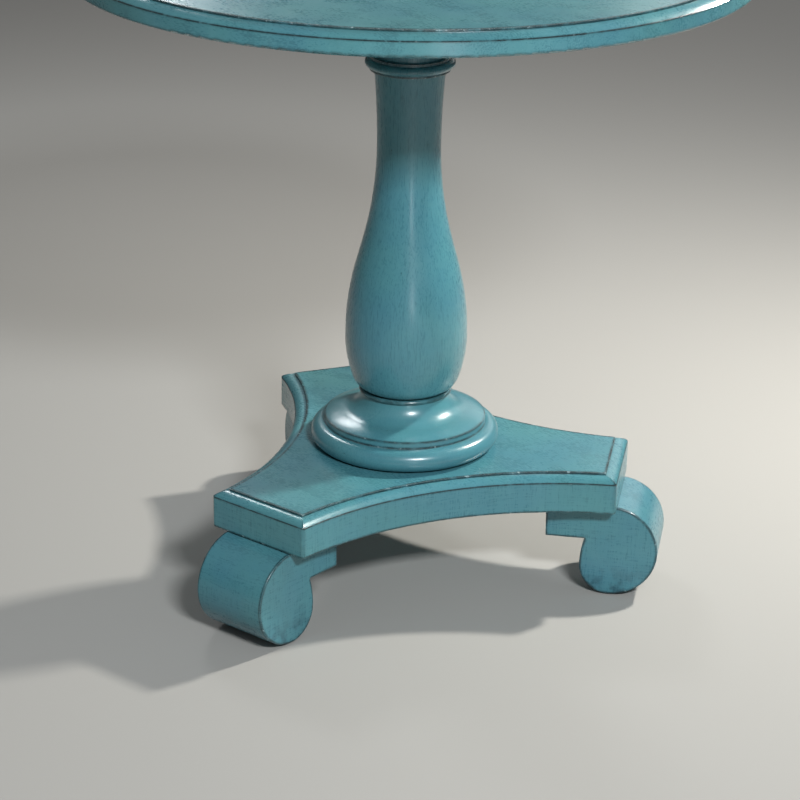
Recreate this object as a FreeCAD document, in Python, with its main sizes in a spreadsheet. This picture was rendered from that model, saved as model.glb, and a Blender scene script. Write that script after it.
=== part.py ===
import FreeCAD, Part
import math
import os
import re

import Sketcher

# Tilt top table, in millimetres.
#
# A round top tilts on two pivot bolts over a turned pedestal. The pedestal stands on a
# three-armed plinth with hollow sides, carried by three flat-sided scroll feet.
#
# Frame: origin on the floor under the column's axis, +Z up, -Y the front. One leg points
# to the front. The rear of the top rises when the table is tilted, and its face turns
# to the front. A brass slide bolt at the rear locks the top down.

DIMENSIONS = {
    # whole table
    "table_height": 740,
    "top_radius": 381,
    "top_thickness": 26,
    "top_edge_round": 3,
    "fit_gap": 0.1,
    "over_cut": 1,
    # plinth: three arms, each ending in a straight face
    "plinth_thickness": 45,
    "end_distance": 255,
    "end_half_width": 68,
    "waist_distance": 138,
    "corner_round": 4,
    "underside_round": 1.5,
    # edge moulding of plinth and top: a step down to a broad round
    "moulding_step": 2.5,
    "moulding_inset": 13.3,
    "moulding_round": 17,
    "moulding_quirk": 0.6,
    # scroll feet
    "foot_height": 111,
    "foot_width": 94,
    "foot_inner_end": 173.5,
    "foot_arm": 42,
    "foot_notch": 219,
    "foot_notch_curve": 103.5,
    "scroll_centre": 248.5,
    "scroll_inner_round": 34.8,
    "foot_edge_round": 1.5,
    "glide_radius": 10,
    "glide_depth": 3,
    "glide_stand": 1.5,
    "foot_screw_distance": 192,
    "foot_screw_spread": 24,
    "foot_screw_shank": 3.2,
    "foot_screw_head": 7,
    "foot_screw_sink": 4,
    "foot_screw_length": 70,
    "foot_screw_slot": 1.6,
    "foot_dowel_distance": 236,
    "foot_dowel_radius": 5,
    "foot_dowel_depth": 15,
    # base ring: a half-round torus on the plinth
    "ring_bead": 12.75,
    "ring_centre": 96,
    # ogee collar: lip, dome, cove and a small bead
    "lip_radius": 93.2,
    "lip_height": 8.1,
    "dome_curve": 77.4,
    "dome_start": 64.8,
    "dome_end": 80.8,
    "cove_curve": 26.9,
    "cove_end": 8.7,
    "collar_bead": 2.5,
    "collar_bead_centre": 51,
    # column: a vase with a long neck, an astragal and a plain frieze
    "belly_radius": 70,
    "heel_curve": 23,
    "heel_angle": 73,
    "flank_curve": 155,
    "flank_angle": 18.8,
    "shoulder_curve": 328,
    "waist_slope": 15.2,
    "neck_curve": 417,
    "neck_radius": 36,
    "throat_curve": 970,
    "throat_angle": 5.2,
    "astragal_radius": 45.5,
    "astragal_bead": 5,
    "astragal_fillet": 3,
    "frieze_radius": 40.5,
    # capital: cove, fillet and half-round edge
    "capital_foot": 4,
    "capital_neck": 43,
    "capital_cove": 17,
    "capital_fillet": 2.5,
    "capital_disc": 62,
    "capital_bead": 6.5,
    # pivot block under the top
    "block_length": 200,
    "block_width": 170,
    "block_height": 32,
    "block_gap": 0.5,
    "block_edge_round": 2,
    "pivot_drop": 18,
    "pivot_setback": 17.5,
    # bearers under the top
    "bearer_gap": 1,
    "bearer_width": 25,
    "bearer_length": 560,
    "bearer_depth": 40,
    "bearer_end_depth": 20,
    "bearer_end_flat": 40,
    "bearer_slope": 90,
    "bearer_edge_round": 1.5,
    "bearer_screw_shank": 2.5,
    "bearer_screw_head": 5,
    "bearer_screw_sink": 3,
    "bearer_screw_length": 36,
    "bearer_screw_slot": 1.2,
    "bearer_screw_end": 20,
    "bearer_screw_middle": 110,
    "bearer_counterbore": 7,
    # pivot bolts, bushes and washers
    "pivot_pin": 4,
    "pivot_pin_depth": 45,
    "pivot_head": 8,
    "pivot_head_side": 3,
    "pivot_head_crown": 2,
    "pivot_slot": 2,
    "pivot_slot_depth": 2.2,
    "bush_radius": 6.5,
    "bush_clearance": 0.06,
    "washer_radius": 10,
    "washer_thickness": 0.6,
    # tie rod, nuts and washers
    "rod_radius": 5,
    "rod_bore": 5.5,
    "rod_end": 2,
    "nut_corner": 9.8,
    "nut_height": 8,
    "rod_washer_radius": 14,
    "rod_washer_thickness": 2,
    "nut_recess_radius": 17,
    "nut_recess_depth": 14,
    # locating dowels in the column
    "dowel_radius": 4,
    "dowel_spread": 26,
    "dowel_depth": 20,
    # table catch
    "catch_drop": 10,
    "catch_plate_width": 44,
    "catch_plate_length": 60,
    "catch_plate_thickness": 2,
    "catch_plate_round": 3,
    "catch_plate_start": 106,
    "catch_guide_width": 15,
    "catch_guide_length": 6,
    "catch_guide_depth": 13,
    "catch_guide_first": 5,
    "catch_guide_second": 32,
    "catch_screw_inset": 7,
    "catch_screw_shank": 1.5,
    "catch_screw_head": 3.2,
    "catch_screw_sink": 1.6,
    "catch_screw_length": 14,
    "catch_screw_slot": 0.8,
    "catch_bolt_radius": 4,
    "catch_bolt_length": 62,
    "catch_bolt_tip": 1.5,
    "catch_bolt_retreat": 4,
    "catch_bolt_clearance": 0.08,
    "catch_spring_curve": 10.5,
    "catch_spring_sag": 3.6,
    "catch_spring_leaf": 0.5,
    "catch_spring_width": 7,
    "knob_place": 55,
    "knob_stud": 1.9,
    "knob_stud_length": 5,
    "knob_collar": 4,
    "knob_collar_height": 1.5,
    "knob_neck": 2.6,
    "knob_neck_height": 2,
    "knob_ball": 6,
    "strike_width": 40,
    "strike_height": 18,
    "strike_thickness": 1.5,
    "strike_hole": 4.6,
    "strike_mortise": 14,
    "strike_screw_spread": 14,
}

LEG_ANGLES = (-90, 30, 150)
SIDES = {"left": -1, "right": 1}

doc = FreeCAD.newDocument("TiltTopTable")
sheet = doc.addObject("Spreadsheet::Sheet", "Sizes")
for row, (alias, value) in enumerate(DIMENSIONS.items(), start=1):
    sheet.set(f"A{row}", alias)
    sheet.set(f"B{row}", str(value))
    sheet.setAlias(f"B{row}", alias)
doc.recompute()

nodes = []

# ---------------------------------------------------------------- levels above the floor
PLINTH_TOP = "(foot_height + plinth_thickness)"
RING_HEIGHT = "(2 * ring_bead)"
COLLAR_BASE = f"({PLINTH_TOP} + {RING_HEIGHT})"
UNDERSIDE = "(table_height - top_thickness)"
BLOCK_TOP = f"({UNDERSIDE} - block_gap)"
BLOCK_BASE = f"({BLOCK_TOP} - block_height)"
CAPITAL_HEIGHT = "(capital_foot + capital_cove + capital_fillet + 2 * capital_bead)"
CAPITAL_BASE = f"({BLOCK_BASE} - {CAPITAL_HEIGHT})"
PIVOT_Z = f"({UNDERSIDE} - pivot_drop)"
PIVOT_Y = "(pivot_setback - block_length / 2)"
CATCH_Z = f"({UNDERSIDE} - catch_drop)"

# ---------------------------------------------------------------- collar's outline points
DOME_X = "(lip_radius - dome_curve * cos(dome_start))"
DOME_Z = "(lip_height - dome_curve * sin(dome_start))"
EASE_X = f"({DOME_X} + dome_curve * cos(dome_end))"
EASE_Z = f"({DOME_Z} + dome_curve * sin(dome_end))"
COVE_X = f"({EASE_X} + cove_curve * (cos(dome_end) - cos(cove_end)))"
COVE_Z = f"({EASE_Z} + cove_curve * (sin(dome_end) - sin(cove_end)))"
COLLAR_HEIGHT = f"({COVE_Z} + 2 * collar_bead)"
COLUMN_BASE = f"({COLLAR_BASE} + {COLLAR_HEIGHT})"

# ---------------------------------------------------------------- column's outline points
BELLY_Z = "((flank_curve - heel_curve) * sin(flank_angle) + heel_curve * sin(heel_angle))"
FLANK_X = "(belly_radius - flank_curve * (1 - cos(flank_angle)))"
FLANK_Z = f"({BELLY_Z} - flank_curve * sin(flank_angle))"
HEEL_X = f"({FLANK_X} - heel_curve * (cos(flank_angle) - cos(heel_angle)))"
SHOULDER_X = "(belly_radius - shoulder_curve * (1 - cos(waist_slope)))"
SHOULDER_Z = f"({BELLY_Z} + shoulder_curve * sin(waist_slope))"
WAIST_X = "(neck_radius + neck_curve * (1 - cos(waist_slope)))"
WAIST_Z = f"({SHOULDER_Z} + ({SHOULDER_X} - {WAIST_X}) / tan(waist_slope))"
NECK_Z = f"({WAIST_Z} + neck_curve * sin(waist_slope))"
THROAT_X = "(neck_radius + throat_curve * (1 - cos(throat_angle)))"
THROAT_Z = f"({NECK_Z} + throat_curve * sin(throat_angle))"
COLUMN_LENGTH = f"({CAPITAL_BASE} - {COLUMN_BASE})"

# ---------------------------------------------------------------- moulded edge and hollow sides
MOULDING_DROP = "(moulding_round - sqrt(moulding_round^2 - moulding_inset^2))"
CORNER_REACH = "(end_distance * cos(60) + end_half_width * sin(60))"
HOLLOW_CENTRE = (
    "((end_distance^2 + end_half_width^2 - waist_distance^2)"
    f" / (2 * ({CORNER_REACH} - waist_distance)))"
)
HOLLOW_RADIUS = f"({HOLLOW_CENTRE} - waist_distance)"

TURNS = {
    "up": FreeCAD.Rotation(),
    "down": FreeCAD.Rotation(FreeCAD.Vector(1, 0, 0), 180),
    "right": FreeCAD.Rotation(FreeCAD.Vector(0, 1, 0), 90),
    "left": FreeCAD.Rotation(FreeCAD.Vector(0, 1, 0), -90),
    "back": FreeCAD.Rotation(FreeCAD.Vector(1, 0, 0), -90),
    "front": FreeCAD.Rotation(FreeCAD.Vector(1, 0, 0), 90),
}


# ---------------------------------------------------------------- sizes from the sheet
def formula(text):
    """Point each dimension name in a formula at its cell."""
    def cell(match):
        word = match.group(0)
        return "Sizes." + word if word in DIMENSIONS else word

    return re.sub(r"[a-z][a-z_]*", cell, text)


def size(text):
    """Work a formula out as a number."""
    return float(sheet.evalExpression(formula(text)))


def bind(thing, prop, text):
    """Bind one property to a formula."""
    thing.setExpression(prop, formula(text))


def put(thing, place, way="up", spin=0):
    """Turn a thing to face a way, spin it about Z, and bind its place."""
    about_z = FreeCAD.Rotation(FreeCAD.Vector(0, 0, 1), spin)
    thing.Placement = FreeCAD.Placement(FreeCAD.Vector(), about_z * TURNS[way])
    for axis, text in zip("xyz", place):
        bind(thing, "Placement.Base." + axis, text)
    return thing


def polar(distance, angle, sideways="0"):
    """X and Y of a point out along a leg and to the left of it."""
    across = f"(({distance}) * cos({angle}) - ({sideways}) * sin({angle}))"
    along = f"(({distance}) * sin({angle}) + ({sideways}) * cos({angle}))"
    return across, along


# ---------------------------------------------------------------- primitives and booleans
def rod(name, radius, length, place, way="up"):
    """A cylinder that starts at a place and runs one way."""
    thing = doc.addObject("Part::Cylinder", name)
    bind(thing, "Radius", radius)
    bind(thing, "Height", length)
    return put(thing, place, way)


def cone(name, wide, narrow, length, place, way="up"):
    """A cone that narrows from its place."""
    thing = doc.addObject("Part::Cone", name)
    bind(thing, "Radius1", wide)
    bind(thing, "Radius2", narrow)
    bind(thing, "Height", length)
    return put(thing, place, way)


def slab(name, lengths, centre, base):
    """A box given by its three lengths, its centre in X and Y, and its base in Z."""
    thing = doc.addObject("Part::Box", name)
    for prop, text in zip(("Length", "Width", "Height"), lengths):
        bind(thing, prop, text)
    corner = (f"{centre[0]} - ({lengths[0]}) / 2", f"{centre[1]} - ({lengths[1]}) / 2", base)
    return put(thing, corner)


def fused(name, pieces):
    """Several shapes as one solid."""
    thing = doc.addObject("Part::MultiFuse", name)
    thing.Shapes = pieces
    return thing


def cut(name, base, tools):
    """A base with the tools taken away."""
    thing = doc.addObject("Part::Cut", name)
    thing.Base = base
    thing.Tool = tools[0] if len(tools) == 1 else fused(name + "_tools", tools)
    return thing


def common(name, first, second):
    """Where two shapes overlap."""
    thing = doc.addObject("Part::Common", name)
    thing.Base = first
    thing.Tool = second
    return thing


def rounded(name, base, radius, chosen):
    """A base with a fillet on each edge that passes a test."""
    doc.recompute()
    number = size(radius)
    thing = doc.addObject("Part::Fillet", name)
    thing.Base = base
    edges = enumerate(base.Shape.Edges, start=1)
    thing.Edges = [(index, number, number) for index, edge in edges if chosen(edge)]
    return thing


def group(name, pieces):
    """Separate identical pieces in one node."""
    thing = doc.addObject("Part::Compound", name)
    thing.Links = pieces
    return thing


def points_on(edge):
    """Both ends and the middle of an edge."""
    first, last = edge.ParameterRange
    return [edge.valueAt(first), edge.valueAt((first + last) / 2), edge.valueAt(last)]


def is_upright(edge):
    """True for a straight edge parallel to Z."""
    start, _, end = points_on(edge)
    return math.hypot(end.x - start.x, end.y - start.y) < 1e-6


def is_level_at(height):
    """A test for edges that lie wholly at one height."""
    level = size(height)
    return lambda edge: all(abs(point.z - level) < 1e-6 for point in points_on(edge))


# ---------------------------------------------------------------- sketched bodies
def origin_plane(body, role):
    """One of a body's own origin planes."""
    return next(plane for plane in body.Origin.OriginFeatures if plane.Role == role)


def line(across, up):
    """A corner of an outline, with a straight line on to the next corner."""
    return across, up, None, 0


def arc(across, up, radius, bend):
    """A corner with an arc on to the next: bend is 1 to the left and -1 to the right."""
    return across, up, radius, bend


def curve_between(start, end, radius, bend):
    """The short arc from start to end, as sketch geometry."""
    chord = end - start
    middle = (start + end) * 0.5
    left = FreeCAD.Vector(-chord.y, chord.x, 0).normalize()
    rise = math.sqrt(max(radius ** 2 - (chord.Length / 2) ** 2, 0))
    centre = middle + left * rise * bend
    ends = [math.atan2(point.y - centre.y, point.x - centre.x) for point in (start, end)]
    if bend < 0:
        ends.reverse()
    circle = Part.Circle(centre, FreeCAD.Vector(0, 0, 1), radius)
    return Part.ArcOfCircle(circle, ends[0], ends[1])


def hold_corner(sketch, index, start_end, across, up):
    """Bind one corner of the outline to its distances from the sketch's origin."""
    for kind, axis, text in (("DistanceX", -2, across), ("DistanceY", -1, up)):
        if text == "0":
            sketch.addConstraint(Sketcher.Constraint("PointOnObject", index, start_end, axis))
            continue
        held = Sketcher.Constraint(kind, -1, 1, index, start_end, size(text))
        number = sketch.addConstraint(held)
        bind(sketch, f"Constraints[{number}]", text)


def draw(body, role, corners):
    """A closed sketch on a body's origin plane, through corners bound to the sheet."""
    sketch = body.newObject("Sketcher::SketchObject", body.Name + "_outline")
    sketch.AttachmentSupport = [(origin_plane(body, role), "")]
    sketch.MapMode = "FlatFace"
    spots = [FreeCAD.Vector(size(across), size(up), 0) for across, up, _, _ in corners]
    ends = []
    for index, (_, _, radius, bend) in enumerate(corners):
        start = spots[index]
        end = spots[(index + 1) % len(corners)]
        if radius is None:
            sketch.addGeometry(Part.LineSegment(start, end))
        else:
            sketch.addGeometry(curve_between(start, end, size(radius), bend))
        ends.append((2, 1) if bend < 0 else (1, 2))
    for index, (across, up, radius, _) in enumerate(corners):
        following = (index + 1) % len(corners)
        joint = (index, ends[index][1], following, ends[following][0])
        sketch.addConstraint(Sketcher.Constraint("Coincident", *joint))
        hold_corner(sketch, index, ends[index][0], across, up)
        if radius is not None:
            number = sketch.addConstraint(Sketcher.Constraint("Radius", index, size(radius)))
            bind(sketch, f"Constraints[{number}]", radius)
    return sketch


def turned(name, corners, place=("0", "0", "0"), way="up"):
    """A lathe-turned piece: its outline, in radius and height, spun about its own Z."""
    body = doc.addObject("PartDesign::Body", name)
    sketch = draw(body, "XZ_Plane", corners)
    spun = body.newObject("PartDesign::Revolution", name + "_turning")
    spun.Profile = sketch
    spun.ReferenceAxis = (sketch, ["V_Axis"])
    spun.Angle = 360
    return put(body, place, way)


def sawn(name, role, corners, width, place=("0", "0", "0"), spin=0):
    """A flat-sided piece: its outline, padded to both sides of a plane."""
    body = doc.addObject("PartDesign::Body", name)
    sketch = draw(body, role, corners)
    pad = body.newObject("PartDesign::Pad", name + "_board")
    pad.Profile = sketch
    pad.SideType = "Symmetric"
    bind(pad, "Length", width)
    return put(body, place, "up", spin)


def ease(body, radius, chosen):
    """Fillet the edges of a body's board that pass a test in the body's own frame."""
    doc.recompute()
    board = body.Tip
    edges = enumerate(board.Shape.Edges, start=1)
    names = [f"Edge{index}" for index, edge in edges if chosen(edge)]
    fillet = body.newObject("PartDesign::Fillet", body.Name + "_easing")
    fillet.Base = (board, names)
    bind(fillet, "Radius", radius)


# ---------------------------------------------------------------- fasteners
def screw(name, kind, place, way, gap="0"):
    """A countersunk wood screw with a slotted head; with a gap it is the hole for that screw."""
    shank = f"({kind}_shank + {gap})"
    head = f"({kind}_head + {gap})"
    stem = rod(name + "_stem", shank, f"({kind}_length + {gap})", place, way)
    top = cone(name + "_cone", head, shank, f"({kind}_sink + {gap})", place, way)
    solid = fused(name, [stem, top])
    if gap != "0":
        return solid
    return cut(name + "_slotted", solid, [head_slot(name + "_slot", kind, place, way)])


def head_slot(name, kind, place, way):
    """The slot across a screw's head, to cut from it."""
    half_length = f"({kind}_head + over_cut)"
    half_width = f"({kind}_slot / 2)"
    x, y, z = place
    corners = {
        "up": (f"{x} - {half_length}", f"{y} - {half_width}", f"{z} - over_cut"),
        "front": (f"{x} - {half_length}", f"{y} + over_cut", f"{z} - {half_width}"),
    }
    slot = doc.addObject("Part::Box", name)
    bind(slot, "Length", f"2 * {half_length}")
    bind(slot, "Width", f"2 * {half_width}")
    bind(slot, "Height", f"({kind}_sink / 3 + over_cut)")
    return put(slot, corners[way], way)


def ring(name, outer, inner, thickness, place, way="up"):
    """A flat washer or a plain bush."""
    disc = rod(name + "_disc", outer, thickness, place, way)
    hole = rod(name + "_hole", inner, thickness, place, way)
    return cut(name, disc, [hole])


def foot_places(distance, level, angles):
    """Two places abreast under each of some legs, at a level."""
    spreads = ("foot_screw_spread", "-foot_screw_spread")
    return [(*polar(distance, angle, spread), level) for angle in angles for spread in spreads]


def foot_dowels(prefix, gap, angles=LEG_ANGLES):
    """The dowels between feet and plinth, or the holes for them."""
    places = foot_places("foot_dowel_distance", "(foot_height - foot_dowel_depth)", angles)
    radius = f"(foot_dowel_radius + {gap})"
    return [rod(f"{prefix}_{number}", radius, "(2 * foot_dowel_depth)", place)
            for number, place in enumerate(places, start=1)]


def foot_screws(prefix, gap, angles=LEG_ANGLES):
    """The screws through the feet into the plinth, or the holes for them."""
    places = foot_places("foot_screw_distance", "(foot_height - foot_arm)", angles)
    return [screw(f"{prefix}_{number}", "foot_screw", place, "up", gap)
            for number, place in enumerate(places, start=1)]


COLUMN_DOWEL_SPANS = (
    (f"({PLINTH_TOP} - dowel_depth)", f"({COLLAR_BASE} + dowel_depth)"),
    (f"({COLUMN_BASE} - dowel_depth)", f"({COLUMN_BASE} + dowel_depth)"),
    (f"({CAPITAL_BASE} - dowel_depth)", f"({BLOCK_BASE} + dowel_depth)"),
)


def column_dowels(prefix, gap):
    """The pairs of dowels that stop the pedestal's pieces from turning, or their holes."""
    pieces = []
    for level, (low, high) in enumerate(COLUMN_DOWEL_SPANS, start=1):
        for side, sign in SIDES.items():
            place = (f"{sign} * dowel_spread", "0", low)
            name = f"{prefix}_{level}_{side}"
            pieces.append(rod(name, f"(dowel_radius + {gap})", f"({high} - {low})", place))
    return pieces


def pedestal_holes(name):
    """The tie rod's bore and the dowel holes, to cut from each piece of the pedestal."""
    bore = rod(name + "_bore", "rod_bore", "table_height", ("0", "0", "0"))
    return [bore] + column_dowels(name + "_dowel_hole", "fit_gap")


# ---------------------------------------------------------------- plinth
def three_armed(name, end_distance, hollow_radius, thickness, base):
    """A three-armed slab: a triangle with its three sides hollowed by circles."""
    triangle = doc.addObject("Part::Prism", name + "_triangle")
    triangle.Polygon = 3
    bind(triangle, "Circumradius", f"2 * ({end_distance})")
    bind(triangle, "Height", thickness)
    put(triangle, ("0", "0", base), "up", 90)
    hollows = []
    for number, angle in enumerate(LEG_ANGLES, start=1):
        place = (*polar(HOLLOW_CENTRE, angle + 60), f"{base} - over_cut")
        depth = f"{thickness} + 2 * over_cut"
        hollows.append(rod(f"{name}_hollow_{number}", hollow_radius, depth, place))
    return cut(name, triangle, hollows)


def make_plinth():
    """The plinth: a thick board with a moulded top edge, softened corners and its holes."""
    thickness = "(plinth_thickness - moulding_step)"
    plain = three_armed("plinth_board", "end_distance", HOLLOW_RADIUS, thickness, "foot_height")
    softened = rounded("plinth_softened", plain, "corner_round", is_upright)
    overhang = "(moulding_round - moulding_inset)"
    wide = three_armed("plinth_wide", f"end_distance + {overhang}",
                       f"{HOLLOW_RADIUS} - {overhang}", thickness, "foot_height")
    edge_level = f"({PLINTH_TOP} - moulding_step)"
    bead = rounded("plinth_bead", wide, "moulding_round", is_level_at(edge_level))
    moulded = common("plinth_moulded", softened, bead)
    eased = rounded("plinth_eased", moulded, "underside_round", is_level_at("foot_height"))
    inset = "(moulding_inset + moulding_quirk)"
    raised = three_armed("plinth_raised", f"end_distance - {inset}",
                         f"{HOLLOW_RADIUS} + {inset}", "moulding_step + over_cut",
                         f"({edge_level} - over_cut)")
    solid = fused("plinth_solid", [eased, raised])
    recess = rod("plinth_nut_recess", "nut_recess_radius", "nut_recess_depth + over_cut",
                 ("0", "0", "foot_height - over_cut"))
    holes = pedestal_holes("plinth")
    holes += foot_screws("plinth_screw_hole", "fit_gap")
    holes += foot_dowels("plinth_dowel_socket", "fit_gap")
    nodes.append(cut("plinth", solid, [recess] + holes))


# ---------------------------------------------------------------- feet
def foot_outline():
    """A foot seen from its side: an arm under the plinth that ends in a round scroll."""
    scroll = "((foot_height - glide_stand) / 2)"
    outer = f"(scroll_centre + {scroll})"
    return [
        line("foot_inner_end", "(foot_height - foot_arm)"),
        arc("foot_notch", "(foot_height - foot_arm)", "foot_notch_curve", 1),
        arc("(scroll_centre - scroll_inner_round)", "(glide_stand + scroll_inner_round)",
            "scroll_inner_round", 1),
        arc("scroll_centre", "glide_stand", scroll, 1),
        arc(outer, f"(glide_stand + {scroll})", scroll, 1),
        line("scroll_centre", "foot_height"),
        line("foot_inner_end", "foot_height"),
    ]


def is_on_foot_side(edge):
    """True for an edge that lies in one of the two flat sides of a foot."""
    half = size("foot_width / 2")
    return all(abs(abs(point.y) - half) < 1e-6 for point in points_on(edge))


def make_foot(number, angle):
    """One scroll foot, with its screw holes, dowel sockets and glide recess."""
    name = f"scroll_foot_{number}"
    blank = sawn(name + "_blank", "XZ_Plane", foot_outline(), "foot_width", spin=angle)
    ease(blank, "foot_edge_round", is_on_foot_side)
    under = (*polar("scroll_centre", angle), "0")
    recess = rod(name + "_glide_recess", "glide_radius + fit_gap", "glide_stand + glide_depth",
                 under)
    holes = [recess]
    holes += foot_screws(name + "_screw_hole", "fit_gap", (angle,))
    holes += foot_dowels(name + "_dowel_socket", "fit_gap", (angle,))
    nodes.append(cut(name, blank, holes))


def make_foot_fittings():
    """Glides under the scrolls, and the screws and dowels that hold the feet."""
    glides = []
    for number, angle in enumerate(LEG_ANGLES, start=1):
        under = (*polar("scroll_centre", angle), "0")
        thickness = "glide_stand + glide_depth"
        glides.append(rod(f"glide_{number}", "glide_radius", thickness, under))
    nodes.append(group("foot_glides", glides))
    nodes.append(group("foot_screws", foot_screws("foot_screw", "0")))
    nodes.append(group("foot_dowels", foot_dowels("foot_dowel", "0")))


# ---------------------------------------------------------------- pedestal
def make_base_ring():
    """The half-round ring that the collar stands on."""
    outer = "(ring_centre + ring_bead)"
    outline = [
        line("rod_bore", "0"),
        arc("ring_centre", "0", "ring_bead", 1),
        arc(outer, "ring_bead", "ring_bead", 1),
        line("ring_centre", RING_HEIGHT),
        line("rod_bore", RING_HEIGHT),
    ]
    blank = turned("base_ring_blank", outline, ("0", "0", PLINTH_TOP))
    nodes.append(cut("base_ring", blank, pedestal_holes("base_ring")))


def make_ogee_collar():
    """The collar: an upright lip, a low dome, a cove and a small bead."""
    bead_side = "(collar_bead_centre + collar_bead)"
    outline = [
        line("rod_bore", "0"),
        line("lip_radius", "0"),
        arc("lip_radius", "lip_height", "dome_curve", 1),
        arc(EASE_X, EASE_Z, "cove_curve", -1),
        line(COVE_X, COVE_Z),
        arc("collar_bead_centre", COVE_Z, "collar_bead", 1),
        arc(bead_side, f"({COVE_Z} + collar_bead)", "collar_bead", 1),
        line("collar_bead_centre", COLLAR_HEIGHT),
        line("rod_bore", COLLAR_HEIGHT),
    ]
    blank = turned("ogee_collar_blank", outline, ("0", "0", COLLAR_BASE))
    nodes.append(cut("ogee_collar", blank, pedestal_holes("ogee_collar")))


def make_column():
    """The vase-shaped column, up through its neck to an astragal and a plain frieze."""
    bead_base = f"({THROAT_Z} + astragal_fillet)"
    bead_top = f"({bead_base} + 2 * astragal_bead)"
    frieze_base = f"({bead_top} + astragal_fillet)"
    bead_side = "(astragal_radius + astragal_bead)"
    outline = [
        line("rod_bore", "0"),
        arc(HEEL_X, "0", "heel_curve", 1),
        arc(FLANK_X, FLANK_Z, "flank_curve", 1),
        arc("belly_radius", BELLY_Z, "shoulder_curve", 1),
        line(SHOULDER_X, SHOULDER_Z),
        arc(WAIST_X, WAIST_Z, "neck_curve", -1),
        arc("neck_radius", NECK_Z, "throat_curve", -1),
        line(THROAT_X, THROAT_Z),
        line("astragal_radius", THROAT_Z),
        arc("astragal_radius", bead_base, "astragal_bead", 1),
        arc(bead_side, f"({bead_base} + astragal_bead)", "astragal_bead", 1),
        line("astragal_radius", bead_top),
        line("astragal_radius", frieze_base),
        line("frieze_radius", frieze_base),
        line("frieze_radius", COLUMN_LENGTH),
        line("rod_bore", COLUMN_LENGTH),
    ]
    blank = turned("column_blank", outline, ("0", "0", COLUMN_BASE))
    nodes.append(cut("column", blank, pedestal_holes("column")))


def make_capital():
    """The disc that spreads the column's load into the pivot block."""
    cove_top = "(capital_foot + capital_cove)"
    bead_base = f"({cove_top} + capital_fillet)"
    bead_side = "(capital_disc + capital_bead)"
    outline = [
        line("rod_bore", "0"),
        line("capital_neck", "0"),
        arc("capital_neck", "capital_foot", "capital_cove", -1),
        line("(capital_neck + capital_cove)", cove_top),
        line("capital_disc", cove_top),
        arc("capital_disc", bead_base, "capital_bead", 1),
        arc(bead_side, f"({bead_base} + capital_bead)", "capital_bead", 1),
        line("capital_disc", CAPITAL_HEIGHT),
        line("rod_bore", CAPITAL_HEIGHT),
    ]
    blank = turned("capital_blank", outline, ("0", "0", CAPITAL_BASE))
    nodes.append(cut("capital", blank, pedestal_holes("capital")))


def make_pivot_block():
    """The block that the top rests and turns on; its front edge is round about the pivot."""
    pivot_up = f"({PIVOT_Z} - {BLOCK_BASE})"
    outline = [
        line("0", "0"),
        line("block_length", "0"),
        line("block_length", "block_height"),
        arc("pivot_setback", "block_height", "pivot_setback", 1),
        line("0", pivot_up),
    ]
    front = "(-block_length / 2)"
    blank = sawn("pivot_block_blank", "YZ_Plane", outline, "block_width",
                 ("0", front, BLOCK_BASE))
    ease(blank, "block_edge_round", is_upright)
    recess_base = f"({BLOCK_TOP} - nut_recess_depth)"
    recess = rod("block_nut_recess", "nut_recess_radius", "nut_recess_depth + over_cut",
                 ("0", "0", recess_base))
    mortise = rod("block_mortise", "strike_hole", "strike_mortise + over_cut",
                  ("0", "block_length / 2 + over_cut", CATCH_Z), "front")
    holes = pedestal_holes("block") + [recess, mortise]
    for side, sign in SIDES.items():
        mouth = (f"{sign} * (block_width / 2 + over_cut)", PIVOT_Y, PIVOT_Z)
        inward = "left" if side == "right" else "right"
        holes.append(rod(f"block_pin_hole_{side}", "pivot_pin + fit_gap",
                         "pivot_pin_depth + over_cut", mouth, inward))
    holes += strike_screws("block_strike_hole", "fit_gap")
    nodes.append(cut("pivot_block", blank, holes))


def make_tie_rod():
    """The long threaded rod that clamps the pedestal together, with nuts and washers."""
    low_washer = "(foot_height + nut_recess_depth - rod_washer_thickness)"
    low_nut = f"({low_washer} - nut_height)"
    high_washer = f"({BLOCK_TOP} - nut_recess_depth)"
    high_nut = f"({high_washer} + rod_washer_thickness)"
    low_end = f"({low_nut} - rod_end)"
    length = f"({high_nut} + nut_height + rod_end - {low_end})"
    nodes.append(rod("tie_rod", "rod_radius", length, ("0", "0", low_end)))
    nuts = []
    washers = []
    for name, nut, washer in (("low", low_nut, low_washer), ("high", high_nut, high_washer)):
        hexagon = doc.addObject("Part::Prism", f"{name}_hexagon")
        hexagon.Polygon = 6
        bind(hexagon, "Circumradius", "nut_corner")
        bind(hexagon, "Height", "nut_height")
        put(hexagon, ("0", "0", nut))
        thread = rod(f"{name}_thread", "rod_radius + fit_gap", "nut_height", ("0", "0", nut))
        nuts.append(cut(f"{name}_nut", hexagon, [thread]))
        washers.append(ring(f"{name}_washer", "rod_washer_radius", "rod_bore",
                            "rod_washer_thickness", ("0", "0", washer)))
    nodes.append(group("rod_nuts", nuts))
    nodes.append(group("rod_washers", washers))
    nodes.append(group("column_dowels", column_dowels("column_dowel", "0")))


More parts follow.
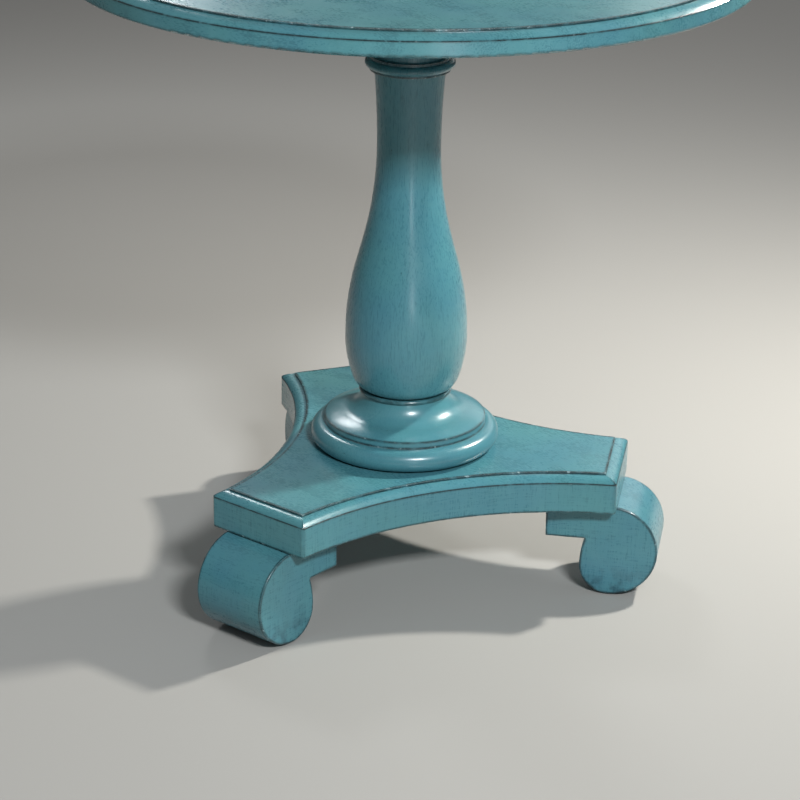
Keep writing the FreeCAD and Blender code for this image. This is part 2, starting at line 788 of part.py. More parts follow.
# ---------------------------------------------------------------- pivots
def make_pivots():
    """Per side: a bolt fixed in the block, a bush in the bearer and two thin washers."""
    bearer_inner = "(block_width / 2 + bearer_gap)"
    bearer_outer = f"({bearer_inner} + bearer_width)"
    under_head = f"({bearer_outer} + bearer_gap)"
    head_face = f"({under_head} + pivot_head_side + pivot_head_crown)"
    stem = f"({under_head} - block_width / 2 + pivot_pin_depth)"
    crown_curve = "((pivot_head^2 + pivot_head_crown^2) / (2 * pivot_head_crown))"
    outline = [
        line("0", "0"),
        line("pivot_pin", "0"),
        line("pivot_pin", stem),
        line("pivot_head", stem),
        arc("pivot_head", f"({stem} + pivot_head_side)", crown_curve, 1),
        line("0", f"({stem} + pivot_head_side + pivot_head_crown)"),
    ]
    washers = []
    for side, sign in SIDES.items():
        inner_end = (f"{sign} * (block_width / 2 - pivot_pin_depth)", PIVOT_Y, PIVOT_Z)
        blank = turned(f"pivot_bolt_{side}_blank", outline, inner_end, side)
        slot = slab(f"pivot_slot_{side}",
                    ("2 * pivot_slot_depth", "pivot_slot", "2 * (pivot_head + over_cut)"),
                    (f"{sign} * {head_face}", PIVOT_Y), f"({PIVOT_Z} - pivot_head - over_cut)")
        nodes.append(cut(f"pivot_bolt_{side}", blank, [slot]))
        bush_start = (f"{sign} * {bearer_inner}", PIVOT_Y, PIVOT_Z)
        nodes.append(ring(f"pivot_bush_{side}", "bush_radius", "pivot_pin + bush_clearance",
                          "bearer_width", bush_start, side))
        starts = {"inner": "(block_width / 2)", "outer": f"({under_head} - washer_thickness)"}
        for place, start in starts.items():
            washers.append(ring(f"pivot_washer_{place}_{side}", "washer_radius",
                                "pivot_pin + fit_gap", "washer_thickness",
                                (f"{sign} * {start}", PIVOT_Y, PIVOT_Z), side))
    nodes.append(group("pivot_washers", washers))


# ---------------------------------------------------------------- top and bearers
def make_top_board():
    """The round top, with the same moulded edge as the plinth, and its screw holes."""
    edge_top = f"(top_thickness - moulding_step - {MOULDING_DROP})"
    bead_top = "(top_thickness - moulding_step)"
    bead_inner = "(top_radius - moulding_inset)"
    raised = f"({bead_inner} - moulding_quirk)"
    outline = [
        line("0", "0"),
        arc("(top_radius - top_edge_round)", "0", "top_edge_round", 1),
        line("top_radius", "top_edge_round"),
        arc("top_radius", edge_top, "moulding_round", 1),
        line(bead_inner, bead_top),
        line(raised, bead_top),
        line(raised, "top_thickness"),
        line("0", "top_thickness"),
    ]
    blank = turned("top_board_blank", outline, ("0", "0", UNDERSIDE))
    holes = bearer_screws("top_bearer_hole", "fit_gap") + catch_screws("top_catch_hole", "fit_gap")
    nodes.append(cut("top_board", blank, holes))


BEARER_CENTRE = "(block_width / 2 + bearer_gap + bearer_width / 2)"
BEARER_SEAT = f"({UNDERSIDE} - bearer_end_depth)"


def bearer_screws(prefix, gap, signs=(-1, 1)):
    """The screws through the bearers into the top, or the holes for them."""
    end = "(bearer_length / 2 - bearer_screw_end)"
    rows = (end, "bearer_screw_middle", "-bearer_screw_middle", f"-{end}")
    places = [(f"{sign} * {BEARER_CENTRE}", row, BEARER_SEAT) for sign in signs for row in rows]
    return [screw(f"{prefix}_{number}", "bearer_screw", place, "up", gap)
            for number, place in enumerate(places, start=1)]


def bearer_outline():
    """A bearer seen from its side: deep in the middle, sloping up to thin ends."""
    thin = "(bearer_depth - bearer_end_depth)"
    return [
        line("0", thin),
        line("bearer_end_flat", thin),
        line("(bearer_end_flat + bearer_slope)", "0"),
        line("(bearer_length - bearer_end_flat - bearer_slope)", "0"),
        line("(bearer_length - bearer_end_flat)", thin),
        line("bearer_length", thin),
        line("bearer_length", "bearer_depth"),
        line("0", "bearer_depth"),
    ]


def is_below_top(edge):
    """True for an edge of a bearer's sides that doesn't touch the top."""
    start, middle, end = points_on(edge)
    runs_across = abs(end.x - start.x) > 1e-6
    return not runs_across and middle.z < size("bearer_depth") - 1e-6


def make_bearer(side, sign):
    """One bearer, with its pivot hole and its screw holes."""
    name = f"bearer_{side}"
    centre = f"{sign} * {BEARER_CENTRE}"
    blank = sawn(name + "_blank", "YZ_Plane", bearer_outline(), "bearer_width",
                 (centre, "(-bearer_length / 2)", f"({UNDERSIDE} - bearer_depth)"))
    ease(blank, "bearer_edge_round", is_below_top)
    inner = (f"{sign} * (block_width / 2)", PIVOT_Y, PIVOT_Z)
    holes = [rod(name + "_bush_hole", "bush_radius + fit_gap", "bearer_width + 2 * bearer_gap",
                 inner, side)]
    for number, row in enumerate(("bearer_screw_middle", "-bearer_screw_middle"), start=1):
        place = (centre, row, f"({UNDERSIDE} - bearer_depth - over_cut)")
        depth = "(bearer_depth - bearer_end_depth + over_cut)"
        holes.append(rod(f"{name}_counterbore_{number}", "bearer_counterbore", depth, place))
    holes += bearer_screws(name + "_screw_hole", "fit_gap", (sign,))
    nodes.append(cut(name, blank, holes))


# ---------------------------------------------------------------- table catch
CATCH_PLATE_CENTRE = "(catch_plate_start + catch_plate_length / 2)"
CATCH_PLATE_BASE = f"({UNDERSIDE} - catch_plate_thickness)"
BOLT_TIP = "(block_length / 2 + catch_bolt_retreat)"
GUIDE_CENTRES = tuple(
    f"(catch_plate_start + {start} + catch_guide_length / 2)"
    for start in ("catch_guide_first", "catch_guide_second")
)


def catch_screws(prefix, gap):
    """The screws that hold the catch under the top, or the holes for them."""
    across = "(catch_plate_width / 2 - catch_screw_inset)"
    along = "(catch_plate_length / 2 - catch_screw_inset)"
    pieces = []
    for column, x_sign in enumerate((-1, 1), start=1):
        for row, y_sign in enumerate((-1, 1), start=1):
            place = (f"{x_sign} * {across}", f"{CATCH_PLATE_CENTRE} + {y_sign} * {along}",
                     CATCH_PLATE_BASE)
            pieces.append(screw(f"{prefix}_{column}_{row}", "catch_screw", place, "up", gap))
    return pieces


def make_catch_plate():
    """The brass plate under the top, with two guides that the bolt slides in."""
    plate = slab("catch_plate_sheet",
                 ("catch_plate_width", "catch_plate_length", "catch_plate_thickness"),
                 ("0", CATCH_PLATE_CENTRE), CATCH_PLATE_BASE)
    softened = rounded("catch_plate_softened", plate, "catch_plate_round", is_upright)
    guides = []
    for number, centre in enumerate(GUIDE_CENTRES, start=1):
        base = f"({CATCH_PLATE_BASE} - catch_guide_depth)"
        guide = slab(f"catch_guide_{number}",
                     ("catch_guide_width", "catch_guide_length",
                      "catch_guide_depth + catch_plate_thickness / 2"), ("0", centre), base)
        guides.append(rounded(f"catch_guide_round_{number}", guide, "catch_plate_round",
                              is_guide_corner(base)))
    solid = fused("catch_plate_solid", [softened] + guides)
    bore = rod("catch_plate_bore", "catch_bolt_radius + catch_bolt_clearance",
               "catch_plate_length", ("0", "catch_plate_start", CATCH_Z), "back")
    holes = [bore] + catch_screws("catch_plate_hole", "fit_gap")
    nodes.append(cut("catch_plate", solid, holes))


def is_guide_corner(base):
    """A test for the two lower edges of a guide that run front to back."""
    level = size(base)

    def test(edge):
        start, middle, end = points_on(edge)
        return abs(middle.z - level) < 1e-6 and abs(end.y - start.y) > 1e-6

    return test


def make_catch_spring():
    """The bowed leaf spring between the plate and the bolt."""
    rise = "(catch_spring_curve - catch_spring_sag)"
    outer = f"sqrt(catch_spring_curve^2 - {rise}^2)"
    inner = f"sqrt((catch_spring_curve - catch_spring_leaf)^2 - {rise}^2)"
    level = "catch_spring_curve"
    outline = [
        arc("0", level, "catch_spring_curve", 1),
        line(f"(2 * {outer})", level),
        arc(f"({outer} + {inner})", level, "(catch_spring_curve - catch_spring_leaf)", -1),
        line(f"({outer} - {inner})", level),
    ]
    middle = f"(({GUIDE_CENTRES[0]} + {GUIDE_CENTRES[1]}) / 2)"
    place = ("0", f"({middle} - {outer})", f"({CATCH_PLATE_BASE} - {level})")
    nodes.append(sawn("catch_spring", "YZ_Plane", outline, "catch_spring_width", place))


def make_catch_bolt():
    """The sliding bolt, its tip chamfered, with a knob screwed in from below."""
    outline = [
        line("0", "0"),
        line("catch_bolt_radius", "0"),
        line("catch_bolt_radius", "(catch_bolt_length - catch_bolt_tip)"),
        line("(catch_bolt_radius - catch_bolt_tip)", "catch_bolt_length"),
        line("0", "catch_bolt_length"),
    ]
    rear = f"({BOLT_TIP} + catch_bolt_length)"
    blank = turned("catch_bolt_blank", outline, ("0", rear, CATCH_Z), "front")
    knob_y = f"({BOLT_TIP} + knob_place)"
    socket = rod("catch_bolt_socket", "knob_stud + fit_gap", "knob_stud_length + over_cut",
                 ("0", knob_y, CATCH_Z), "down")
    nodes.append(cut("catch_bolt", blank, [socket]))
    collar_base = "knob_stud_length"
    collar_top = f"({collar_base} + knob_collar_height)"
    neck_top = f"({collar_top} + knob_neck_height)"
    ball_centre = f"({neck_top} + sqrt(knob_ball^2 - knob_neck^2))"
    knob = [
        line("0", "0"),
        line("knob_stud", "0"),
        line("knob_stud", collar_base),
        line("knob_collar", collar_base),
        line("knob_collar", collar_top),
        line("knob_neck", collar_top),
        arc("knob_neck", neck_top, "knob_ball", 1),
        arc("knob_ball", ball_centre, "knob_ball", 1),
        line("0", f"({ball_centre} + knob_ball)"),
    ]
    nodes.append(turned("catch_knob", knob, ("0", knob_y, CATCH_Z), "down"))


def strike_screws(prefix, gap):
    """The two screws that hold the strike plate, or the holes for them."""
    face = "(block_length / 2 + strike_thickness)"
    return [screw(f"{prefix}_{side}", "catch_screw",
                  (f"{sign} * strike_screw_spread", face, CATCH_Z), "front", gap)
            for side, sign in SIDES.items()]


def make_strike():
    """The strike plate on the block's rear edge, and its screws."""
    top_margin = f"({BLOCK_TOP} - over_cut - strike_height)"
    plate = slab("strike_sheet", ("strike_width", "strike_thickness", "strike_height"),
                 ("0", "(block_length / 2 + strike_thickness / 2)"), top_margin)
    mouth = ("0", "block_length / 2 + strike_thickness + over_cut", CATCH_Z)
    hole = rod("strike_bolt_hole", "strike_hole", "strike_thickness + 2 * over_cut", mouth,
               "front")
    nodes.append(cut("strike_plate", plate, [hole] + strike_screws("strike_hole_for", "fit_gap")))
    nodes.append(group("strike_screws", strike_screws("strike_screw", "0")))


# ---------------------------------------------------------------- the whole table
def make_table():
    """Every piece of the table, from the floor up."""
    make_plinth()
    for number, angle in enumerate(LEG_ANGLES, start=1):
        make_foot(number, angle)
    make_foot_fittings()
    make_base_ring()
    make_ogee_collar()
    make_column()
    make_capital()
    make_pivot_block()
    make_tie_rod()
    make_pivots()
    make_top_board()
    for side, sign in SIDES.items():
        make_bearer(side, sign)
    nodes.append(group("bearer_screws", bearer_screws("bearer_screw", "0")))
    make_catch_plate()
    nodes.append(group("catch_screws", catch_screws("catch_screw", "0")))
    make_catch_spring()
    make_catch_bolt()
    make_strike()


def check():
    """Stop if any object failed, any sketch is loose or any piece is not a valid solid."""
    for thing in doc.Objects:
        if "Invalid" in thing.State or "Error" in thing.State:
            raise RuntimeError(f"{thing.Name} failed: {thing.State}")
        if thing.TypeId == "Sketcher::SketchObject" and not thing.FullyConstrained:
            raise RuntimeError(f"{thing.Name} is not fully constrained")
    for node in nodes:
        if node.Shape.isNull() or not node.Shape.isValid():
            raise RuntimeError(f"{node.Label} has no valid shape")


def write():
    """Write each piece to its own file."""
    os.makedirs("parts", exist_ok=True)
    for node in nodes:
        node.Shape.exportStep(f"parts/{node.Label}.step")


make_table()
doc.recompute()
check()
write()
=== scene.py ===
"""The looks of the tilt top table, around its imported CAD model. Metres, in the row frame."""

import math

import bpy
from mathutils import Matrix, Vector


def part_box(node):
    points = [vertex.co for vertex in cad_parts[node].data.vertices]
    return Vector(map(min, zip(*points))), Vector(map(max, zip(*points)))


# ------------------------------------------------------------------ camera
CAMERA_PLACE = Vector((1.9515, -2.3913, 1.4453))
CAMERA_FORWARD = Vector((-0.58800, 0.71772, -0.37301))
CAMERA_RIGHT = Vector((0.77001, 0.63789, 0.01356))
CAMERA_LENS = 129.19
SENSOR_WIDTH = 36.0

# ------------------------------------------------------------------ studio
# Softboxes: azimuth round the table from the front (-Y) towards +X, elevation, distance,
# width, height, power, colour.
SOFTBOXES = {
    "softbox_key": (156, 41, 1.6, 0.10, 0.10, 31, (1.0, 0.97, 0.90)),
    "softbox_front": (57, 36, 4.0, 0.75, 0.35, 130, (0.93, 0.97, 1.0)),
    "softbox_strip": (50, 5, 2.5, 0.32, 0.60, 3.0, (0.92, 0.97, 1.0)),
    "softbox_left": (-121, 37, 2.2, 0.40, 0.40, 8, (0.95, 0.98, 1.0)),
    "softbox_sheen": (197, 20, 5.0, 2.50, 1.50, 13, (1.0, 0.98, 0.95)),
}
AIM = Vector((0, 0, 0.2))
SKY_COLOUR = (0.95, 0.97, 1.0)
SKY_HORIZON = 0.14
SKY_ZENITH = 0.20
FLOOR_COLOUR = (0.39, 0.38, 0.36)
FLOOR_RADIUS = 9.0
SWEEP_RADIUS = 3.0
WALL_HEIGHT = 4.5
FLOOR_RING_STEP = 0.6
FLOOR_SPOKES = 96
SWEEP_STEPS = 12

# ------------------------------------------------------------------ paint colours and reaches
TEAL_BLUE = (0.056, 0.195, 0.258)
TEAL_GREEN = (0.082, 0.258, 0.272)
TEAL_PALE = (0.150, 0.350, 0.380)
# Dark glazes; they also paint shade into corners, along the moulding's lines and low on the feet.
BRUSHED_GLAZE_AND_SHADE = (0.018, 0.070, 0.098)
DARK_GLAZE_AND_SHADE = (0.006, 0.012, 0.014)
RUBBED_PAINT = (0.50, 0.62, 0.63)
# A moulded edge's step and lower arris, measured down from the top face.
MOULDING_STEP = 0.0025
MOULDING_ARRIS = 0.0089
# Half width of the dark lines, glaze and painted shade, along the step and the arris.
GLAZE_AND_SHADE_LINE_HALF_WIDTH = 0.0009
# How far from an outside edge the glaze reaches, how far into a corner the paint's glaze and
# painted shade reach, and how far the metal's painted corner shade reaches.
EDGE_REACH = 0.0035
CORNER_GLAZE_AND_SHADE_REACH = 0.0018
METAL_CORNER_SHADE_REACH = 0.003
# Height on the feet up to which glaze and painted shade darken them near the floor.
LOW_GLAZE_AND_SHADE_HEIGHT = 0.05
OCCLUSION_SAMPLES = 6
LATHE_TURN_RADIUS = 0.008


class Graph:
    """Short calls for building one material's nodes."""

    def __init__(self, name):
        self.material = bpy.data.materials.new(name)
        self.material.use_nodes = True
        self.tree = self.material.node_tree
        self.tree.nodes.clear()

    def add(self, kind, **settings):
        """A node, with its settings."""
        node = self.tree.nodes.new("ShaderNode" + kind)
        for setting, value in settings.items():
            setattr(node, setting, value)
        return node

    def feed(self, socket, value):
        """Link a socket to an output, or set it to a number or a colour."""
        if isinstance(value, bpy.types.NodeSocket):
            self.tree.links.new(value, socket)
        elif value is not None:
            if isinstance(value, tuple) and len(value) == 3 and len(socket.default_value) == 4:
                value = (*value, 1.0)
            socket.default_value = value

    def math(self, operation, first, second=None, clamp=False):
        """One sum."""
        node = self.add("Math", operation=operation, use_clamp=clamp)
        self.feed(node.inputs[0], first)
        self.feed(node.inputs[1], second)
        return node.outputs[0]

    def vector(self, operation, first, second=None):
        """One sum of vectors."""
        node = self.add("VectorMath", operation=operation)
        self.feed(node.inputs[0], first)
        self.feed(node.inputs[1], second)
        return node.outputs["Vector"]

    def fade(self, value, start, end, low=0.0, high=1.0):
        """A smooth change from low to high as a value goes from start to end."""
        node = self.add("MapRange", interpolation_type="SMOOTHSTEP")
        for socket, number in zip(node.inputs, (value, start, end, low, high)):
            self.feed(socket, number)
        return node.outputs[0]

    def mix(self, share, first, second):
        """A mix of two colours."""
        node = self.add("Mix", data_type="RGBA")
        self.feed(node.inputs[0], share)
        self.feed(node.inputs[6], first)
        self.feed(node.inputs[7], second)
        return node.outputs[2]

    def noise(self, vector, scale, detail=2.0, roughness=0.5, fourth=None):
        """Soft noise from 0 to 1."""
        node = self.add("TexNoise", noise_dimensions="3D" if fourth is None else "4D")
        self.feed(node.inputs["Vector"], vector)
        self.feed(node.inputs["Scale"], scale)
        self.feed(node.inputs["Detail"], detail)
        self.feed(node.inputs["Roughness"], roughness)
        if fourth is not None:
            self.feed(node.inputs["W"], fourth)
        return node.outputs[0]

    def place(self):
        """The point on the piece, in metres in the row frame."""
        return self.add("TexCoord").outputs["Object"]

    def stretched(self, x, y, z):
        """The point on the piece, with each direction multiplied."""
        return self.vector("MULTIPLY", self.place(), (x, y, z))

    def split(self, vector):
        """A vector's three parts."""
        node = self.add("SeparateXYZ")
        self.feed(node.inputs[0], vector)
        return node.outputs

    def joined(self, x, y, z):
        """A vector from three parts."""
        node = self.add("CombineXYZ")
        for socket, part in zip(node.inputs, (x, y, z)):
            self.feed(socket, part)
        return node.outputs[0]

    def occlusion_shade(self, reach):
        """Painted shade from ambient occlusion: 1 deep in a corner and against other parts, 0 in
        the open.
        """
        node = self.add("AmbientOcclusion", samples=OCCLUSION_SAMPLES)
        self.feed(node.inputs["Distance"], reach)
        return self.math("SUBTRACT", 1.0, node.outputs["AO"], clamp=True)

    def edge(self, reach):
        """Above 0 on the piece's outside edges, and 0 on a flat or gently curved face."""
        node = self.add("AmbientOcclusion", samples=OCCLUSION_SAMPLES, inside=True,
                        only_local=True)
        self.feed(node.inputs["Distance"], reach)
        return self.math("SUBTRACT", 1.0, node.outputs["AO"], clamp=True)

    def line_at(self, value, centre, half_width):
        """1 where a value is at the centre, and 0 from half a width away."""
        away = self.math("ABSOLUTE", self.math("SUBTRACT", value, centre))
        return self.fade(away, half_width, 0.4 * half_width)

    def bump(self, height, strength, distance, under=None):
        """A normal from a height."""
        node = self.add("Bump")
        self.feed(node.inputs["Strength"], strength)
        self.feed(node.inputs["Distance"], distance)
        self.feed(node.inputs["Height"], height)
        if under is not None:
            self.feed(node.inputs["Normal"], under)
        return node.outputs[0]

    def finish(self, **sockets):
        """The surface shader, with the named sockets set or linked."""
        shader = self.add("BsdfPrincipled")
        for socket, value in sockets.items():
            self.feed(shader.inputs[socket.replace("_", " ")], value)
        output = self.add("OutputMaterial")
        self.tree.links.new(shader.outputs[0], output.inputs["Surface"])
        return self.material


# ------------------------------------------------------------------ brush marks
def upright_marks(graph):
    """Fine streaks that run up and down."""
    fine = graph.noise(graph.stretched(1, 1, 0.09), 1100, 2, 0.6)
    broad = graph.noise(graph.stretched(1, 1, 0.045), 420, 2, 0.5)
    return graph.mix(0.4, fine, broad)


def level_marks(graph):
    """Fine streaks that run level round a wall."""
    fine = graph.noise(graph.stretched(0.10, 0.10, 1), 1000, 2, 0.6)
    broad = graph.noise(graph.stretched(0.05, 0.05, 1), 380, 2, 0.5)
    return graph.mix(0.4, fine, broad)


def lathe_marks(graph):
    """Fine streaks that run round a turned piece, with no seam."""
    x, y, z = graph.split(graph.place())
    angle = graph.math("ARCTAN2", y, x)
    radius = graph.math("SQRT", graph.math("ADD", graph.math("MULTIPLY", x, x),
                                           graph.math("MULTIPLY", y, y)))
    turn = graph.math("MULTIPLY", graph.math("COSINE", angle), LATHE_TURN_RADIUS)
    other_turn = graph.math("MULTIPLY", graph.math("SINE", angle), LATHE_TURN_RADIUS)
    across = graph.joined(radius, z, turn)
    fine = graph.noise(across, 900, 2, 0.6, graph.math("MULTIPLY", other_turn, 900))
    broad = graph.noise(across, 320, 2, 0.5, graph.math("MULTIPLY", other_turn, 320))
    return graph.mix(0.4, fine, broad)


def linen_marks(graph):
    """Crossed streaks on the walls, like linen, and half-strength brushing on the level faces."""
    walls = graph.mix(0.5, upright_marks(graph), level_marks(graph))
    tops = graph.math("ADD", 0.22, graph.math("MULTIPLY", 0.5, board_marks(graph)))
    level = graph.math("ABSOLUTE", graph.split(graph.add("NewGeometry").outputs["Normal"])[2])
    return graph.mix(graph.fade(level, 0.6, 0.9), walls, tops)


def board_marks(graph):
    """Short faint streaks along X on a level face."""
    fine = graph.noise(graph.stretched(0.25, 1, 1), 700, 2, 0.6)
    broad = graph.noise(graph.stretched(0.5, 0.8, 1), 50, 3, 0.5)
    return graph.mix(0.45, fine, broad)


# ------------------------------------------------------------------ paint
def base_coat(graph, place, green, mottle):
    """The teal's slow changes from blue to green, with pale and dark clouds."""
    tone = graph.noise(place, 9, 3, 0.55)
    colour = graph.mix(graph.fade(tone, 0.3, 0.7, green - 0.25, green + 0.25),
                       TEAL_BLUE, TEAL_GREEN)
    cloud = graph.noise(graph.vector("MULTIPLY", place, (1, 1, 0.6)), 26, 4, 0.6)
    colour = graph.mix(graph.fade(cloud, 0.5, 0.8, 0, mottle), colour, TEAL_PALE)
    return graph.mix(graph.fade(cloud, 0.48, 0.2, 0, mottle), colour, BRUSHED_GLAZE_AND_SHADE)


def moulding_glaze_and_shade_lines(graph, top, patch):
    """Where dark glaze and painted shade lie along the lower arris and the step of a moulded edge
    with this top.
    """
    height = graph.split(graph.place())[2]
    arris = graph.line_at(height, top - MOULDING_ARRIS, GLAZE_AND_SHADE_LINE_HALF_WIDTH)
    step = graph.line_at(height, top - MOULDING_STEP, GLAZE_AND_SHADE_LINE_HALF_WIDTH)
    level = graph.math("ABSOLUTE", graph.split(graph.add("NewGeometry").outputs["Normal"])[2])
    step = graph.math("MULTIPLY", step, graph.fade(level, 0.6, 0.3))
    both = graph.math("MAXIMUM", arris, step)
    return graph.math("MULTIPLY", both, graph.fade(patch, 0.30, 0.50, 0.30, 0.85))


def painted(name, marks, strength=0.5, green=0.5, mottle=0.3, shine=0.3, moulded_top=None,
            low_glaze_and_shade_top=None):
    """Teal paint under a dark glaze: brushed and rubbed off the edges, with glaze and painted
    shade in the corners and, where asked, along a moulding's lines and low down.
    """
    graph = Graph(name)
    place = graph.place()
    colour = base_coat(graph, place, green, mottle)

    brushed = marks(graph)
    colour = graph.mix(graph.fade(brushed, 0.50, 0.34, 0, strength), colour, BRUSHED_GLAZE_AND_SHADE)
    colour = graph.mix(graph.fade(brushed, 0.52, 0.68, 0, 0.5 * strength), colour, TEAL_PALE)

    patch = graph.noise(place, 70, 3, 0.6)
    # Painted shade and glaze on the feet near the floor: darker towards the bottom, in patches.
    if low_glaze_and_shade_top is not None:
        low = graph.fade(graph.split(place)[2], low_glaze_and_shade_top, 0.0)
        low = graph.math("MULTIPLY", low, graph.fade(patch, 0.42, 0.62, 0, 0.7))
        colour = graph.mix(low, colour, BRUSHED_GLAZE_AND_SHADE)

    edge = graph.edge(EDGE_REACH)
    near_edge = graph.math("MULTIPLY", graph.fade(edge, 0.06, 0.22),
                           graph.fade(patch, 0.30, 0.55, 0.45, 0.95))
    colour = graph.mix(near_edge, colour, DARK_GLAZE_AND_SHADE)
    # Dark glaze and painted shade along a moulding's step and lower arris.
    if moulded_top is not None:
        colour = graph.mix(moulding_glaze_and_shade_lines(graph, moulded_top, patch), colour, DARK_GLAZE_AND_SHADE)
    chipped = graph.noise(place, 170, 4, 0.65)
    rubbed = graph.math("MULTIPLY", graph.fade(edge, 0.15, 0.28),
                        graph.fade(chipped, 0.61, 0.67, 0, 0.9))
    rubbed = graph.math("MAXIMUM", rubbed, graph.fade(edge, 0.50, 0.62, 0, 0.9))
    colour = graph.mix(rubbed, colour, RUBBED_PAINT)

    # Dark glaze and painted shade deep in corners and where parts meet.
    corner_shade = graph.occlusion_shade(CORNER_GLAZE_AND_SHADE_REACH)
    corner_glaze_and_shade = graph.math("MULTIPLY", graph.fade(corner_shade, 0.30, 0.58),
                      graph.fade(patch, 0.25, 0.55, 0.5, 0.9))
    colour = graph.mix(corner_glaze_and_shade, colour, DARK_GLAZE_AND_SHADE)

    speck = graph.noise(place, 300, 2, 0.5)
    colour = graph.mix(graph.fade(speck, 0.755, 0.785, 0, 0.85), colour, DARK_GLAZE_AND_SHADE)

    rough = graph.fade(brushed, 0.3, 0.7, 0.24, 0.34)
    rough = graph.math("ADD", rough, graph.math("MULTIPLY", rubbed, 0.2))
    normal = graph.bump(graph.noise(place, 30, 2, 0.5), 0.20, 0.0012)
    normal = graph.bump(brushed, 0.30, 0.00010, normal)
    return graph.finish(
        Base_Color=colour, Roughness=rough, Normal=normal, IOR=1.5,
        Coat_Weight=shine, Coat_Roughness=0.17, Coat_IOR=1.5,
    )


# ------------------------------------------------------------------ hardware and bare pieces
def metal(name, bright, dull, roughness, brushed_scale):
    """Metal with dull patches, painted shade in its corners and fine rubbing marks."""
    graph = Graph(name)
    place = graph.place()
    stain = graph.noise(place, 120, 4, 0.6)
    share = graph.fade(stain, 0.42, 0.68, 0, 0.7)
    colour = graph.mix(share, bright, dull)
    # Painted shade in the metal's corners and where it meets other parts.
    corner_shade = graph.fade(graph.occlusion_shade(METAL_CORNER_SHADE_REACH), 0.2, 0.7, 0, 0.75)
    colour = graph.mix(corner_shade, colour, tuple(0.25 * part for part in dull))
    scratch = graph.noise(graph.stretched(1, 0.06, 1), brushed_scale, 3, 0.6)
    rough = graph.math("ADD", graph.fade(scratch, 0.3, 0.7, 0, 0.14),
                       graph.fade(stain, 0.3, 0.7, roughness, roughness + 0.15))
    normal = graph.bump(scratch, 0.2, 0.00006)
    return graph.finish(Base_Color=colour, Metallic=1.0, Roughness=rough, Normal=normal)


def bare_wood(name):
    """Plain beech: flecked, with the grain up and down."""
    graph = Graph(name)
    grain = graph.noise(graph.stretched(1, 1, 0.05), 400, 3, 0.6)
    fleck = graph.noise(graph.stretched(1, 1, 0.15), 1400, 2, 0.5)
    colour = graph.mix(graph.fade(grain, 0.3, 0.7), (0.52, 0.34, 0.18), (0.66, 0.47, 0.28))
    colour = graph.mix(graph.fade(fleck, 0.62, 0.72, 0, 0.5), colour, (0.30, 0.17, 0.08))
    return graph.finish(Base_Color=colour, Roughness=graph.fade(grain, 0.3, 0.7, 0.55, 0.7),
                        Normal=graph.bump(grain, 0.3, 0.0001))


def nylon(name):
    """Dark brown moulded nylon, finely pitted and scuffed."""
    graph = Graph(name)
    place = graph.place()
    pits = graph.noise(place, 1500, 2, 0.5)
    scuff = graph.noise(place, 150, 4, 0.6)
    colour = graph.mix(graph.fade(scuff, 0.5, 0.75, 0, 0.6), (0.045, 0.032, 0.024),
                       (0.12, 0.10, 0.085))
    return graph.finish(Base_Color=colour, Roughness=graph.fade(scuff, 0.3, 0.7, 0.42, 0.62),
                        Normal=graph.bump(pits, 0.3, 0.0001))


def dress(material, nodes):
    """Give these CAD nodes one material."""
    for name in nodes:
        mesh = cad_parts[name].data
        mesh.materials.clear()
        mesh.materials.append(material)


def dress_all():
    """Every CAD node's material."""
    plinth_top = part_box("plinth")[1].z
    board_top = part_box("top_board")[1].z
    dress(painted("paint_plinth", linen_marks, 0.45, green=0.55, mottle=0.15, shine=0.15,
                  moulded_top=plinth_top), ["plinth"])
    dress(painted("paint_feet", linen_marks, 0.52, green=0.35, mottle=0.2, shine=0.15,
                  low_glaze_and_shade_top=LOW_GLAZE_AND_SHADE_HEIGHT),
          ["scroll_foot_1", "scroll_foot_2", "scroll_foot_3"])
    dress(painted("paint_turned", lathe_marks, 0.26, green=0.55, mottle=0.15),
          ["base_ring", "ogee_collar", "capital"])
    dress(painted("paint_column", upright_marks, 0.30, green=0.4, mottle=0.12), ["column"])
    dress(painted("paint_board", board_marks, 0.34, green=0.6, moulded_top=board_top),
          ["top_board"])
    dress(painted("paint_under", board_marks, 0.4, green=0.5),
          ["pivot_block", "bearer_left", "bearer_right"])
    dress(bare_wood("beech"), ["foot_dowels", "column_dowels"])
    dress(nylon("nylon"), ["foot_glides"])
    dress(metal("zinc_plate", (0.66, 0.66, 0.65), (0.46, 0.47, 0.48), 0.30, 500),
          ["foot_screws", "tie_rod", "rod_nuts", "rod_washers", "bearer_screws"])
    dress(metal("lacquered_brass", (0.83, 0.60, 0.28), (0.52, 0.35, 0.14), 0.22, 700),
          ["pivot_bolt_left", "pivot_bolt_right", "pivot_bush_left", "pivot_bush_right",
           "pivot_washers", "strike_plate", "strike_screws", "catch_plate", "catch_screws",
           "catch_bolt", "catch_knob"])
    dress(metal("blued_steel", (0.20, 0.23, 0.28), (0.10, 0.11, 0.14), 0.30, 500),
          ["catch_spring"])


# ------------------------------------------------------------------ studio
def sweep_outline():
    """Radius and height of the floor, its curve up and the wall round it."""
    rings = round(FLOOR_RADIUS / FLOOR_RING_STEP)
    points = [(FLOOR_RING_STEP * ring, 0.0) for ring in range(1, rings + 1)]
    for step in range(SWEEP_STEPS + 1):
        turn = math.pi / 2 * step / SWEEP_STEPS
        points.append((FLOOR_RADIUS + SWEEP_RADIUS * math.sin(turn),
                       SWEEP_RADIUS * (1 - math.cos(turn))))
    points.append((FLOOR_RADIUS + SWEEP_RADIUS, WALL_HEIGHT))
    return points


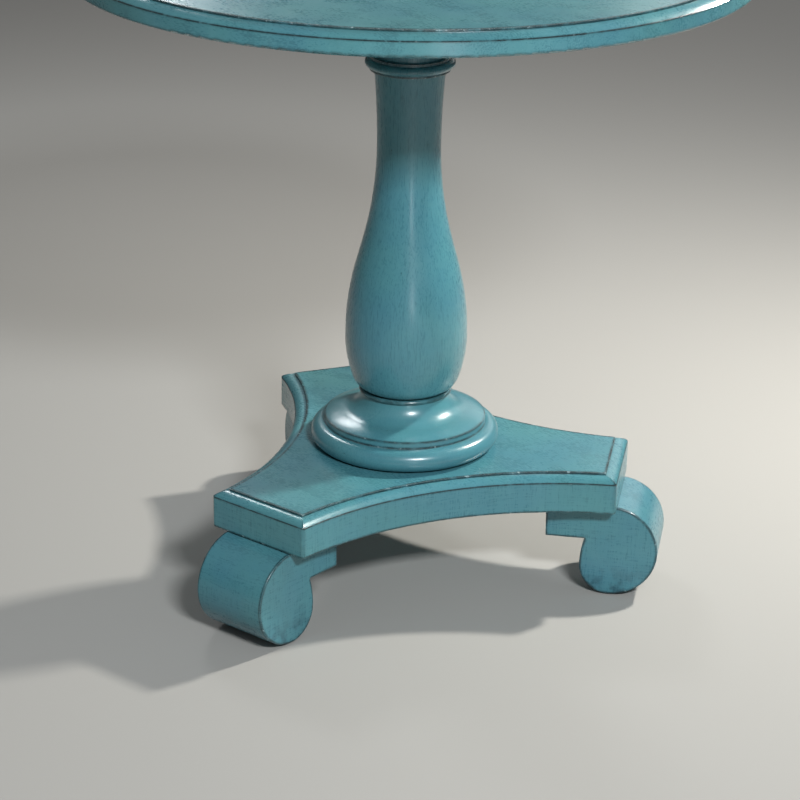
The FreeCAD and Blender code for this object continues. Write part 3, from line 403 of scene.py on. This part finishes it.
def make_floor():
    """A plain pale floor that curves up into a wall all round."""
    outline = sweep_outline()
    count = FLOOR_SPOKES
    corners = [(0.0, 0.0, 0.0)]
    faces = []
    for radius, height in outline:
        for index in range(count):
            turn = 2 * math.pi * index / count
            corners.append((radius * math.cos(turn), radius * math.sin(turn), height))
    for index in range(count):
        following = (index + 1) % count
        faces.append((0, 1 + index, 1 + following))
        for ring_number in range(len(outline) - 1):
            near = 1 + ring_number * count
            far = near + count
            faces.append((near + index, far + index, far + following, near + following))
    mesh = bpy.data.meshes.new("floor")
    mesh.from_pydata(corners, [], faces)
    mesh.polygons.foreach_set("use_smooth", [True] * len(faces))
    floor = bpy.data.objects.new("floor", mesh)
    bpy.context.scene.collection.objects.link(floor)
    graph = Graph("floor")
    mesh.materials.append(graph.finish(Base_Color=FLOOR_COLOUR, Roughness=0.85,
                                       Specular_IOR_Level=0.2))


def make_softboxes():
    """Soft lights round the table, unseen by the camera."""
    for name, (azimuth, elevation, distance, width, height, power, colour) in SOFTBOXES.items():
        data = bpy.data.lights.new(name, "AREA")
        data.shape = "RECTANGLE"
        data.size = width
        data.size_y = height
        data.energy = power
        data.color = colour
        light = bpy.data.objects.new(name, data)
        turn = math.radians(azimuth)
        rise = math.radians(elevation)
        out = Vector((math.sin(turn) * math.cos(rise), -math.cos(turn) * math.cos(rise),
                      math.sin(rise)))
        light.location = AIM + out * distance
        light.rotation_euler = out.to_track_quat("Z", "Y").to_euler()
        light.visible_camera = False
        bpy.context.scene.collection.objects.link(light)


def make_world():
    """Pale, even light from above, fainter towards the horizon."""
    world = bpy.data.worlds.new("studio")
    world.use_nodes = True
    tree = world.node_tree
    direction = tree.nodes.new("ShaderNodeTexCoord")
    parts = tree.nodes.new("ShaderNodeSeparateXYZ")
    fade = tree.nodes.new("ShaderNodeMapRange")
    fade.inputs["To Min"].default_value = SKY_HORIZON
    fade.inputs["To Max"].default_value = SKY_ZENITH
    background = tree.nodes["Background"]
    background.inputs["Color"].default_value = (*SKY_COLOUR, 1.0)
    tree.links.new(direction.outputs["Generated"], parts.inputs[0])
    tree.links.new(parts.outputs["Z"], fade.inputs["Value"])
    tree.links.new(fade.outputs[0], background.inputs["Strength"])
    bpy.context.scene.world = world


def make_camera():
    """The camera at the photograph's angle and framing."""
    data = bpy.data.cameras.new("camera")
    data.sensor_width = SENSOR_WIDTH
    data.lens = CAMERA_LENS
    data.clip_end = 60
    camera = bpy.data.objects.new("camera", data)
    back = -CAMERA_FORWARD.normalized()
    right = CAMERA_RIGHT.normalized()
    up = back.cross(right)
    turn = Matrix((right, up, back)).transposed()
    camera.matrix_world = Matrix.Translation(CAMERA_PLACE) @ turn.to_4x4()
    bpy.context.scene.collection.objects.link(camera)
    bpy.context.scene.camera = camera


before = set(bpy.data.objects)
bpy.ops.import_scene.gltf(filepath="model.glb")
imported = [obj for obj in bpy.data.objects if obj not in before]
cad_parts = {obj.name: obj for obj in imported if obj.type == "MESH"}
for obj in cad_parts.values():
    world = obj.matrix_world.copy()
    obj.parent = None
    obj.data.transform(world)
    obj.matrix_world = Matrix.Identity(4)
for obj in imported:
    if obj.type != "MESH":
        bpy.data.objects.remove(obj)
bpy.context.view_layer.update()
bpy.context.scene.view_settings.view_transform = "Standard"
make_camera()
make_world()
make_softboxes()
make_floor()
dress_all()
